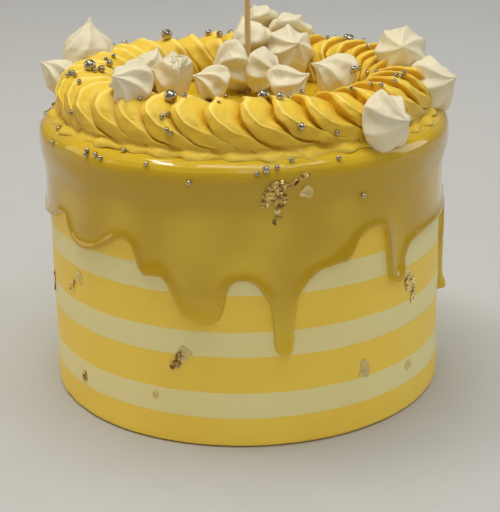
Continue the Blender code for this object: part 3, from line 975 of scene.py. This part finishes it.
@dataclass
class Kisses:
    """All the meringue kisses."""

    ridges: int = 7
    around: int = 98
    rows: int = 46
    belly_at: float = 0.38
    groove: float = 0.24
    rough: float = 0.16
    break_way: tuple = (0.62, -0.25, 0.74)
    break_at: float = 9.2
    profile: tuple = (
        (0.0, 0.70), (0.02, 0.83), (0.07, 0.93), (0.17, 1.0), (0.30, 1.0), (0.44, 0.92),
        (0.56, 0.76), (0.66, 0.57), (0.75, 0.38), (0.83, 0.22), (0.91, 0.11), (1.0, 0.03),
    )
    kisses: tuple = (
        Kiss("kiss_left_tall", (-84, 36, 170.5), 14.4, 26, (0.04, 0.0, 1), 0.7, 1.2, 0.2, 0.6),
        Kiss("kiss_left_low", (-98.5, 17, 160.5), 9.8, 19, (-0.7, -0.1, 0.6), 0.8, 0, 0.5),
        Kiss(
            "kiss_front_left", (-54.5, -63.5, 173.2), 12.3, 17, (-0.62, -0.7, 0.5), 0.6, 0, 0.1, 1.2
        ),
        Kiss("kiss_chipped", (-38, 9, 160.8), 13.5, 21, (-0.8, 0.35, 0.15), 0.7, 0, 0.4, 1, True),
        Kiss("kiss_back_left", (-50, 35, 160.5), 10, 17, (0.3, 0.3, 0.7), 0.9, 0, 0.0),
        Kiss("kiss_small", (-17, -8, 160), 11.3, 17, (-0.8, -0.3, 0.45), 0.8, 0, 0.3, 1.2),
        Kiss(
            "kiss_left_of_stick", (-6.8, 32, 159.8), 15.2, 20, (-0.9, -0.3, -0.15), 0.5, 0, 0.2, 1.1
        ),
        Kiss(
            "kiss_right_of_stick", (12.2, 26.5, 158.4), 12.2, 18, (0.8, -0.5, 0.02),
            0.6, 0, 0.6, 1.1,
        ),
        Kiss("kiss_middle", (23.3, -13, 158.8), 13.0, 20, (0.85, 0.0, 0.5), 0.8, 0, 0.0, 1.2),
        Kiss("kiss_leaning", (48, 6, 160), 13, 23, (-0.85, -0.1, 0.5), 0.9, 1.0, 0.7, 0.8),
        Kiss("kiss_back_high", (10.5, 86, 176), 10.2, 17, (-0.3, 0.7, 0.6), 0.8, 0, 0.4),
        Kiss("kiss_back_slope", (4.0, 60, 170.5), 12, 20, (-0.3, 0.3, 0.8), 0.9, 0, 0.1),
        Kiss("kiss_back_crest", (28, 78, 171.3), 12.8, 19, (0.1, 0.75, 0.5), 0.8, 0, 0.5),
        Kiss("kiss_back_star", (27, 53, 164), 15.2, 20, (0.25, -0.85, 0.45), 0.5, 0, 0.2, 1.1),
        Kiss("kiss_right_tall", (83, 4, 172.4), 14, 18, (0, -0.88, 0.38), 0.4, 0, 0.0, 0.9),
        Kiss("kiss_right_low", (99.5, -8, 157.5), 15.6, 20, (0.85, -0.5, 0.4), 0.6, 0.6, 0.3, 1.1),
        Kiss("kiss_front_right", (68.7, -78, 156.2), 15.0, 19, (0.7, -0.7, 0.2), 0.6, 0, 0.5, 1.1),
    )

    def shell(self, kiss: Kiss, seed: int) -> bpy.types.Object:
        """One kiss as a closed mesh.

        Args:
            kiss: Its place and form.
            seed: Fixes its unevenness.

        Returns:
            The piece.
        """
        axis = Vector(kiss.axis).normalized()
        side = axis.orthogonal().normalized()
        other = axis.cross(side)
        axis, side, other = (np.array(v) for v in (axis, side, other))
        middle = np.array(kiss.middle, float)
        foot = middle - axis * kiss.height * self.belly_at
        theta = circle(self.around)
        draw = np.random.default_rng(seed)
        depth = draw.uniform(0.75, 1.25, self.ridges)
        squash = draw.uniform(0.94, 1.04)
        lean = draw.uniform(-1, 1, 2)
        loops, marks = [], []
        for share in np.linspace(0, 1, self.rows) ** 1.1:
            turn = theta + kiss.swirl * share**1.5 + kiss.turn
            lobe = (theta * self.ridges / (2 * math.pi)) % self.ridges
            deep = depth[np.floor(lobe).astype(int) % self.ridges]
            groove = np.sqrt(np.sin(np.pi * lobe) ** 2 + 0.012) - 0.11
            strength = self.groove * kiss.crisp * deep * smooth(-0.02, 0.36, share)
            ridge = 1.02 - strength * groove
            wide = kiss.radius * float(curve(self.profile, share, 25))
            radius = wide * ridge
            bend = kiss.tip * smooth(0.7, 1.0, share) ** 1.5
            sway = 0.6 * share**2
            centre = foot + axis * kiss.height * share + side * (bend + sway * lean[0])
            centre = centre + other * sway * lean[1]
            spoke = side * np.cos(turn)[:, None] * squash + other * np.sin(turn)[:, None]
            loops.append(centre + spoke * radius[:, None])
            marks.append(np.full(self.around, 1 - share))
        points = np.concatenate(loops)
        sway = self.rough * ripples(seed + 40, points, 7.0)[:, None]
        points += sway * (points - middle) / kiss.radius
        if kiss.broken:
            way = np.array(self.break_way)
            way /= np.linalg.norm(way)
            reach = (points - middle) @ way
            crumb = 0.55 * ripples(seed + 9, points, 1.9) + 0.5 * ripples(seed + 10, points, 4.5)
            over = np.maximum(reach - (self.break_at + crumb), 0)
            points -= over[:, None] * 0.93 * way
        down = (points - middle) @ np.array([0, 0, 1.0])
        faces = capped(self.rows, self.around)
        piece = mesh_piece(kiss.name.replace("kiss", "meringue"), points, faces)
        # Lower points, and points near the base, are marked for the painted warm bounce light from
        # below.
        low = 0.55 - 0.75 * down / kiss.radius + 0.2 * np.concatenate(marks)
        set_attribute(piece, "foot", low)
        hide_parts(kiss.name)
        return piece

    def build(self) -> list[bpy.types.Object]:
        """Make and dress every kiss."""
        finish = Meringue().material()
        return [dress(self.shell(k, 100 + n), finish) for n, k in enumerate(self.kisses)]


@dataclass
class Stick:
    """The thin wooden stick that stands among the kisses."""

    place: tuple = (2.9, 31.0)
    radius: float = 1.5
    foot: float = 120.0
    head: float = 208.0
    sides: int = 24
    rows: int = 60

    def build(self) -> list[bpy.types.Object]:
        """Make and dress the stick."""
        angle = circle(self.sides)
        loops = []
        for height in np.linspace(self.foot, self.head, self.rows):
            end = min(1.0, 0.75 + (self.head - height) / 2)
            radius = self.radius * end + 0.05 * np.cos(3 * angle + height * 0.02)
            x, y = self.place[0] + radius * np.cos(angle), self.place[1] + radius * np.sin(angle)
            loops.append(np.stack([x, y, np.full(self.sides, height)], axis=1))
        faces = capped(self.rows, self.sides)
        piece = mesh_piece("wooden_stick", np.concatenate(loops), faces)
        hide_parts("topper_stick")
        return [dress(piece, Wood().material())]


class Hosts:
    """The pieces that carry the small toppings."""

    SEARCH = 14
    ABOVE = 300.0

    def __init__(self, pieces: list[bpy.types.Object]) -> None:
        """Make a search tree for each piece."""
        self.trees = [tree_of(piece) for piece in pieces]

    def first(self, eye: Vector, way: Vector) -> tuple[Vector, Vector] | None:
        """The nearest point that a ray meets and the normal there, in metres."""
        hits = [tree.ray_cast(eye, way) for tree in self.trees]
        hits = [hit for hit in hits if hit[0] is not None]
        if not hits:
            return None
        place, normal, _, _ = min(hits, key=lambda hit: hit[3])
        return place, normal

    def seen(self, studio: "Studio", x: float, y: float) -> tuple[Vector, Vector]:
        """The point under a place in the picture, or the nearest inwards where it misses.

        Args:
            studio: Holds the camera.
            x: Place across the picture.
            y: Place down the picture.

        Returns:
            The point and the normal there, in metres.
        """
        inward = math.copysign(1.0, PICTURE[0] / 2 - x)
        for reach in range(self.SEARCH):
            for ray in (studio.ray(x, y + reach), studio.ray(x + inward * reach, y)):
                hit = self.first(*ray)
                if hit:
                    return hit
        raise ValueError(f"nothing is seen at {x}, {y}")

    def above(self, bearing: float, radius: float) -> tuple[Vector, Vector]:
        """The point under a place above the cake."""
        eye = Vector(polar(bearing, radius, self.ABOVE) * MM)
        return self.first(eye, Vector((0, 0, -1)))

    def beside(self, bearing: float, height: float) -> tuple[Vector, Vector]:
        """The point of the side at a bearing and a height."""
        eye = Vector(polar(bearing, self.ABOVE, height) * MM)
        way = Vector(polar(bearing, -1.0, 0.0)).normalized()
        return self.first(eye, way)


@dataclass
class Pearls:
    """Silver sugar pearls, scattered on the rope and the glaze's rim."""

    sink: float = 0.3
    large: float = 3.1
    middle: float = 1.95
    small: float = 1.28
    fineness: int = 4
    seen_large: tuple = ((90, 69.5), (169.5, 100), (268, 96.5), (168, 30), (347, 30))
    seen_middle: tuple = (
        (101, 71), (109, 65), (279.6, 99), (266, 170.7), (300, 127), (209, 35), (220, 35),
        (353, 70),
    )
    seen_small: tuple = (
        (68.7, 76), (73.5, 73.5), (79.7, 82.6), (95, 72), (113, 57), (155.3, 91.7), (184.4, 97.3),
        (161.8, 117), (167.5, 115), (167.3, 129.5), (171.6, 133.3), (140, 98.4), (72, 112.3),
        (225.6, 98), (289, 97.5), (301, 92), (353, 88.7), (358, 68.5), (369, 73), (376.6, 71.8),
        (371.5, 84), (382, 85), (394, 76.4), (401, 75.8), (395.7, 80.8), (336, 133), (367.5, 46),
        (328, 30), (397, 74), (404, 74), (75.5, 76.5), (71, 74), (106, 60), (58.7, 129.8),
        (54, 142.7), (88, 151), (86.7, 155.5), (96.3, 155), (101.3, 158.5), (124, 152),
        (146.7, 164.6), (189.5, 182.3), (257, 174), (277, 168), (291.7, 161.3), (338.5, 159),
        (362.5, 194.8),
    )
    hidden: tuple = (
        (132, 91, 1.28), (140, 92, 1.95), (144, 90, 1.28), (154, 92, 1.28), (184, 93, 1.95),
        (199, 91, 1.28), (204, 93, 1.28), (226, 91, 1.95), (231, 93, 1.28), (236, 91, 1.28),
    )
    hidden_rim: tuple = ((112, 141), (140, 142), (144, 139), (170, 143), (205, 140), (222, 141))

    def spots(self, hosts: Hosts, studio: "Studio") -> list[tuple[Vector, float]]:
        """Where all the pearls are.

        Args:
            hosts: What they lie on.
            studio: Holds the camera.

        Returns:
            Their middles and radii, in metres.
        """
        found = []
        for places, radius in (
            (self.seen_large, self.large),
            (self.seen_middle, self.middle),
            (self.seen_small, self.small),
        ):
            found += [(hosts.seen(studio, x, y), radius) for x, y in places]
        found += [(hosts.above(bearing, at), radius) for bearing, at, radius in self.hidden]
        found += [(hosts.beside(b, height), self.small) for b, height in self.hidden_rim]
        lift = 1 - self.sink
        return [
            (spot + normal * radius * lift * MM, radius * MM) for (spot, normal), radius in found
        ]

    def tree(self, finish: bpy.types.Material) -> bpy.types.NodeTree:
        """The nodes that put a ball of the right size on every point."""
        tree = bpy.data.node_groups.new("pearl_balls", "GeometryNodeTree")
        face = tree.interface
        face.new_socket("Geometry", in_out="INPUT", socket_type="NodeSocketGeometry")
        face.new_socket("Sides", in_out="INPUT", socket_type="NodeSocketInt")
        face.new_socket("Geometry", in_out="OUTPUT", socket_type="NodeSocketGeometry")
        nodes = tree.nodes
        start = nodes.new("NodeGroupInput")
        ball = nodes.new("GeometryNodeMeshIcoSphere")
        size = nodes.new("GeometryNodeInputNamedAttribute")
        size.inputs["Name"].default_value = "size"
        spread = nodes.new("GeometryNodeInstanceOnPoints")
        real = nodes.new("GeometryNodeRealizeInstances")
        round_off = nodes.new("GeometryNodeSetShadeSmooth")
        paint = nodes.new("GeometryNodeSetMaterial")
        paint.inputs["Material"].default_value = finish
        end = nodes.new("NodeGroupOutput")
        ball.inputs["Radius"].default_value = 1.0
        for source, given, target, taken in (
            (start, "Sides", ball, "Subdivisions"),
            (start, "Geometry", spread, "Points"),
            (ball, "Mesh", spread, "Instance"),
            (size, "Attribute", spread, "Scale"),
            (spread, "Instances", real, "Geometry"),
            (real, "Geometry", round_off, "Geometry"),
            (round_off, "Geometry", paint, "Geometry"),
            (paint, "Geometry", end, "Geometry"),
        ):
            tree.links.new(source.outputs[given], target.inputs[taken])
        return tree

    def build(self, hosts: Hosts, studio: "Studio") -> list[bpy.types.Object]:
        """Make and dress the pearls as one piece."""
        spots = self.spots(hosts, studio)
        points = np.array([spot for spot, _ in spots]) / MM
        piece = mesh_piece("sugar_pearls", points, [], outward=False)
        set_attribute(piece, "size", np.array([radius for _, radius in spots]))
        finish = Metal("sugar_silver", Tone.SILVER, Tone.SILVER_DULL, 0.12, 0.00002).material()
        step = piece.modifiers.new("balls", "NODES")
        step.node_group = self.tree(finish)
        sides = next(i for i in step.node_group.interface.items_tree if i.name == "Sides")
        step[sides.identifier] = self.fineness
        graph = bpy.context.evaluated_depsgraph_get()
        mesh = bpy.data.meshes.new_from_object(piece.evaluated_get(graph))
        piece.modifiers.clear()
        piece.data = mesh
        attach(piece, ROOT)
        return [piece]


@dataclass(frozen=True)
class Leaf:
    """One sheet of gold leaf: where it is seen, its size, its turn and how crumpled it is."""

    x: float
    y: float
    wide: float
    high: float
    turn: float
    crumple: float


@dataclass
class GoldLeaf:
    """Crumpled bits of gold leaf on the glaze, the wall and the rope."""

    rings: int = 8
    around: int = 40
    thick: float = 0.07
    glitter: float = 0.15
    bright: tuple = (
        (275.5, 188.5, 13.5, 7.5, 25, 1.3), (270.0, 196.5, 9.0, 11.5, -30, 1.5),
        (281.0, 199.5, 8.5, 6.5, 50, 1.2), (278.3, 209.5, 5.4, 8.4, 15, 1.0),
        (275.0, 220.0, 3.2, 4.6, 10, 0.7), (288.5, 185.5, 7.0, 3.6, 25, 0.9),
        (295.0, 182.0, 6.0, 4.4, 40, 1.0), (304.3, 176.0, 5.4, 3.6, 10, 0.8),
        (72.5, 284.0, 9.0, 5.2, 30, 0.9), (53.4, 279.0, 4.0, 13.0, 0, 0.8),
        (174.2, 364.5, 7.0, 6.6, 40, 1.1), (178.5, 357.0, 4.0, 9.0, -30, 0.9),
        (85.2, 376.5, 5.4, 10.0, -20, 0.8), (410.0, 283.0, 8.0, 13.0, 14, 0.9),
        (412.5, 296.0, 4.6, 7.6, -12, 0.9), (207.5, 100.5, 4.4, 2.8, 30, 0.9),
        (212.5, 97.5, 3.4, 2.6, -20, 0.8), (218.8, 102.5, 3.4, 2.4, 45, 0.8),
        (47.5, 109.0, 4.6, 6.4, 20, 1.2), (45.2, 104.0, 3.4, 3.4, 0, 0.9),
    )
    pale: tuple = (
        (307.0, 192.5, 8.4, 8.4, 10, 0.5), (79.5, 277.5, 8.0, 6.4, -15, 0.3),
        (184.5, 352.5, 9.4, 9.4, 10, 0.3), (364.0, 369.5, 8.6, 10.0, -25, 0.25),
        (408.0, 364.0, 6.6, 6.2, 10, 0.2), (408.3, 273.5, 8.0, 6.0, 0, 0.35),
        (155.8, 395.3, 4.0, 4.4, 0, 0.2),
    )
    hidden: tuple = (
        (150, 70, 5, 8, 1.0), (152, 74, 4, 4, 0.5), (212, 38, 6, 6, 1.0), (128, 22, 4.5, 5, 0.8),
        (186, 126, 8, 9, 1.5), (190, 131, 4, 3.5, 0.9), (236, 128, 4, 4, 0.9),
    )

    def sheet(self, spot: Vector, normal: Vector, leaf: Leaf, hosts: Hosts, seed: int) -> tuple:
        """One ragged sheet that lies on its host.

        Args:
            spot: Its middle.
            normal: The host's normal there.
            leaf: Its size, turn and crumple.
            hosts: What it lies on.
            seed: Fixes its outline and its folds.

        Returns:
            Its points in millimetres and its faces.
        """
        draw = np.random.default_rng(seed)
        corners = draw.integers(8, 14)
        at = np.sort(draw.uniform(0, 1, corners)) * 2 * math.pi
        far = draw.uniform(0.42, 1.22, corners)
        theta = circle(self.around)
        reach = np.interp(theta, at, far, period=2 * math.pi)
        reach = reach * draw.uniform(0.94, 1.06, self.around)
        upright = Vector((0, 0, 1)) if abs(normal.z) < 0.9 else Vector((0, 1, 0))
        side = upright.cross(normal).normalized()
        rise = normal.cross(side)
        spin = math.radians(leaf.turn)
        first = side * math.cos(spin) + rise * math.sin(spin)
        second = rise * math.cos(spin) - side * math.sin(spin)
        flat = [np.zeros(2)]
        for ring in range(1, self.rings + 1):
            share = ring / self.rings
            for angle, far_out in zip(theta, reach):
                size = np.array([leaf.wide * math.cos(angle), leaf.high * math.sin(angle)])
                flat.append(size * far_out * share / 2)
        flat = np.array(flat)
        field = np.column_stack([flat, np.full(len(flat), seed * 7.3)])
        folds = 1 - np.abs(ripples(seed, field, 7.0))
        lift = 0.35 + 0.4 * folds + 0.16 * ripples(seed + 1, field, 2.2)
        lift = leaf.crumple * (lift + draw.normal(0, self.glitter, len(flat)))
        top = []
        for (u, v), proud in zip(flat, lift):
            start = spot + (first * float(u) + second * float(v)) * MM + normal * 0.02
            hit = hosts.first(start, -normal)
            base = hit[0] if hit else start - normal * 0.02
            top.append(np.array(base + normal * (max(proud, 0.05) + self.thick) * MM) / MM)
        top = np.array(top)
        low = top - np.array(normal) * self.thick
        count = len(top)
        faces = []
        for k in range(self.around):
            m = (k + 1) % self.around
            faces.append((0, 1 + k, 1 + m))
            faces.append((count, count + 1 + m, count + 1 + k))
            for ring in range(self.rings - 1):
                a, b = 1 + ring * self.around, 1 + (ring + 1) * self.around
                faces.append((a + k, b + k, b + m, a + m))
                faces.append((count + a + m, count + b + m, count + b + k, count + a + k))
            rim = 1 + (self.rings - 1) * self.around
            faces.append((rim + k, count + rim + k, count + rim + m, rim + m))
        return np.concatenate([top, low]), faces

    def piece(self, name: str, sheets: list, finish: bpy.types.Material) -> bpy.types.Object:
        """Join several sheets into one piece.

        Args:
            name: Its name.
            sheets: Points and faces of each sheet.
            finish: Its material.

        Returns:
            The piece.
        """
        points, faces, start = [], [], 0
        for some, quads in sheets:
            points.append(some)
            faces += [tuple(start + i for i in quad) for quad in quads]
            start += len(some)
        made = mesh_piece(name, np.concatenate(points), faces)
        made.data.shade_flat()
        return dress(made, finish)

    def build(self, hosts: Hosts, studio: "Studio") -> list[bpy.types.Object]:
        """Make and dress the bright leaf and the thin pale leaf."""
        gold = Metal("gold_leaf", Tone.GOLD, Tone.GOLD_DARK, 0.2, 0.0001).material()
        pale = Metal("gold_leaf_thin", Tone.LEAF, Tone.GOLD, 0.35, 0.00005).material()
        groups = []
        for rows, seed in ((self.bright, 300), (self.pale, 500)):
            group = []
            for number, leaf in enumerate(Leaf(*row) for row in rows):
                spot = hosts.seen(studio, leaf.x, leaf.y)
                group.append(self.sheet(*spot, leaf, hosts, seed + number))
            groups.append(group)
        bright, thin = groups
        for number, (bearing, height, wide, high, crumple) in enumerate(self.hidden):
            leaf = Leaf(0, 0, wide, high, 30 * number, crumple)
            bright.append(self.sheet(*hosts.beside(bearing, height), leaf, hosts, 400 + number))
        return [
            self.piece("gold_leaf_bits", bright, gold),
            self.piece("gold_leaf_sheets", thin, pale),
        ]


@dataclass
class Studio:
    """The floor, the lights, the world and the camera."""

    eye: tuple = (0.0, -0.6982, 0.3179)
    forward: tuple = (0.0029, 0.9387, -0.3448)
    up: tuple = (0.0164, 0.3447, 0.9386)
    lens: float = 95.7
    sensor: float = 36.0
    ground: tuple = (0.50, 0.50, 0.485)

    def axes(self) -> tuple[Vector, Vector, Vector]:
        """The camera's right, up and forward ways."""
        forward = Vector(self.forward).normalized()
        right = forward.cross(Vector(self.up)).normalized()
        return right, right.cross(forward), forward

    def camera(self) -> None:
        """The camera at the photograph's place."""
        data = bpy.data.cameras.new("camera")
        data.lens = self.lens
        data.sensor_width = self.sensor
        data.clip_start, data.clip_end = 0.01, 50
        made = bpy.data.objects.new("camera", data)
        bpy.context.scene.collection.objects.link(made)
        right, up, forward = self.axes()
        turn = Matrix((right, up, -forward)).transposed()
        made.matrix_world = Matrix.Translation(self.eye) @ turn.to_4x4()
        bpy.context.scene.camera = made

    def ray(self, x: float, y: float) -> tuple[Vector, Vector]:
        """The eye, and the way from it through a place in the picture."""
        right, up, forward = self.axes()
        wide, high = PICTURE
        way = forward * (self.lens / self.sensor * high)
        way = way + right * (x - wide / 2) - up * (y - high / 2)
        return Vector(self.eye), way.normalized()

    def floor(self) -> None:
        """A plain pale floor that curves up far behind the cake."""
        points, width = [], 6.0
        for y, z in ((-4, 0), (1.5, 0), (2.1, 0.06), (2.6, 0.3), (2.9, 0.8), (3.0, 3.5)):
            points += [(-width / MM, y / MM, z / MM - 0.2), (width / MM, y / MM, z / MM - 0.2)]
        faces = [(2 * i, 2 * i + 1, 2 * i + 3, 2 * i + 2) for i in range(5)]
        made = mesh_piece("floor", np.array(points), faces, outward=False)
        graph = Graph("floor_grey")
        grain = graph.noise(30, 2)
        shade = graph.mix(grain, self.ground, tuple(c * 1.04 for c in self.ground))
        made.data.materials.append(graph.surface(Base_Color=shade, Roughness=0.7))

    def light(
        self, name: str, place: tuple, aim: tuple, size: tuple, power: float, warm: float,
        shiny: bool = True,
    ) -> None:
        """One soft rectangular light.

        Args:
            name: Its name.
            place: Where it hangs.
            aim: The point that it faces.
            size: Its width and height in metres.
            power: Its power in watts.
            warm: How warm it is, from 0 to 1.
            shiny: Whether glossy surfaces mirror it.
        """
        data = bpy.data.lights.new(name, "AREA")
        data.shape = "RECTANGLE"
        data.size, data.size_y = size
        data.energy = power
        data.color = (1.0, 1.0 - 0.06 * warm, 1.0 - 0.16 * warm)
        made = bpy.data.objects.new(name, data)
        bpy.context.scene.collection.objects.link(made)
        made.location = place
        made.rotation_euler = (Vector(aim) - Vector(place)).to_track_quat("-Z", "Y").to_euler()
        made.visible_glossy = shiny
        made.visible_camera = False

    def build(self) -> None:
        """Set everything up."""
        self.camera()
        self.floor()
        top = (0, 0, 0.12)
        self.light("ceiling", (-0.1, 0.2, 1.7), top, (1.2, 0.9), 15.5, 0.5, shiny=False)
        self.light("strip_left", (-0.75, 0.1, 1.8), top, (0.7, 0.05), 3.6, 0.3)
        self.light("strip_middle", (-0.1, -0.4, 1.9), top, (0.9, 0.05), 4.0, 0.3)
        self.light("strip_right", (0.75, -0.5, 1.8), top, (0.7, 0.05), 3.6, 0.3)
        self.light("strip_front", (0.3, -1.2, 1.6), top, (0.8, 0.05), 3.0, 0.3)
        self.light("strip_back", (-0.35, 0.75, 1.8), top, (0.8, 0.08), 2.0, 0.3)
        self.light("left_window", (-1.8, 0.35, 0.75), top, (0.9, 1.2), 5.5, 3.2)
        self.light("right_window", (1.8, 0.45, 0.8), top, (0.9, 1.2), 5.5, -0.6)
        self.light("front_fill", (-0.2, -2.3, 0.3), top, (1.6, 0.7), 6.5, 0.8, shiny=False)
        self.light("foot_bounce", (0, 0, -0.0001), (0, 0, 1), (0.56, 0.56), 0.19, 0.6, shiny=False)
        self.light("back_wash", (0, 1.3, 1.8), (0, 2.9, 0.6), (2.0, 0.5), 11.0, 0.0, shiny=False)
        world = bpy.data.worlds.new("room")
        world.use_nodes = True
        back = world.node_tree.nodes["Background"]
        back.inputs["Color"].default_value = (0.95, 0.95, 0.93, 1)
        back.inputs["Strength"].default_value = 0.17
        bpy.context.scene.world = world
        bpy.context.scene.view_settings.view_transform = "Standard"


def main() -> None:
    """Build the cake's looks, piece by piece."""
    logging.basicConfig(level=logging.INFO, format="%(message)s")
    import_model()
    studio = Studio()
    studio.build()
    pieces = []
    for maker in (Wall(), GlazeCoat(), Rope(), Kisses(), Stick()):
        pieces += maker.build()
    hosts = Hosts(pieces)
    for topping in (Pearls(), GoldLeaf()):
        pieces += topping.build(hosts, studio)
    for piece in pieces:
        log.info("%s: %d faces", piece.name, len(piece.data.polygons))


if __name__ == "__main__":
    main()
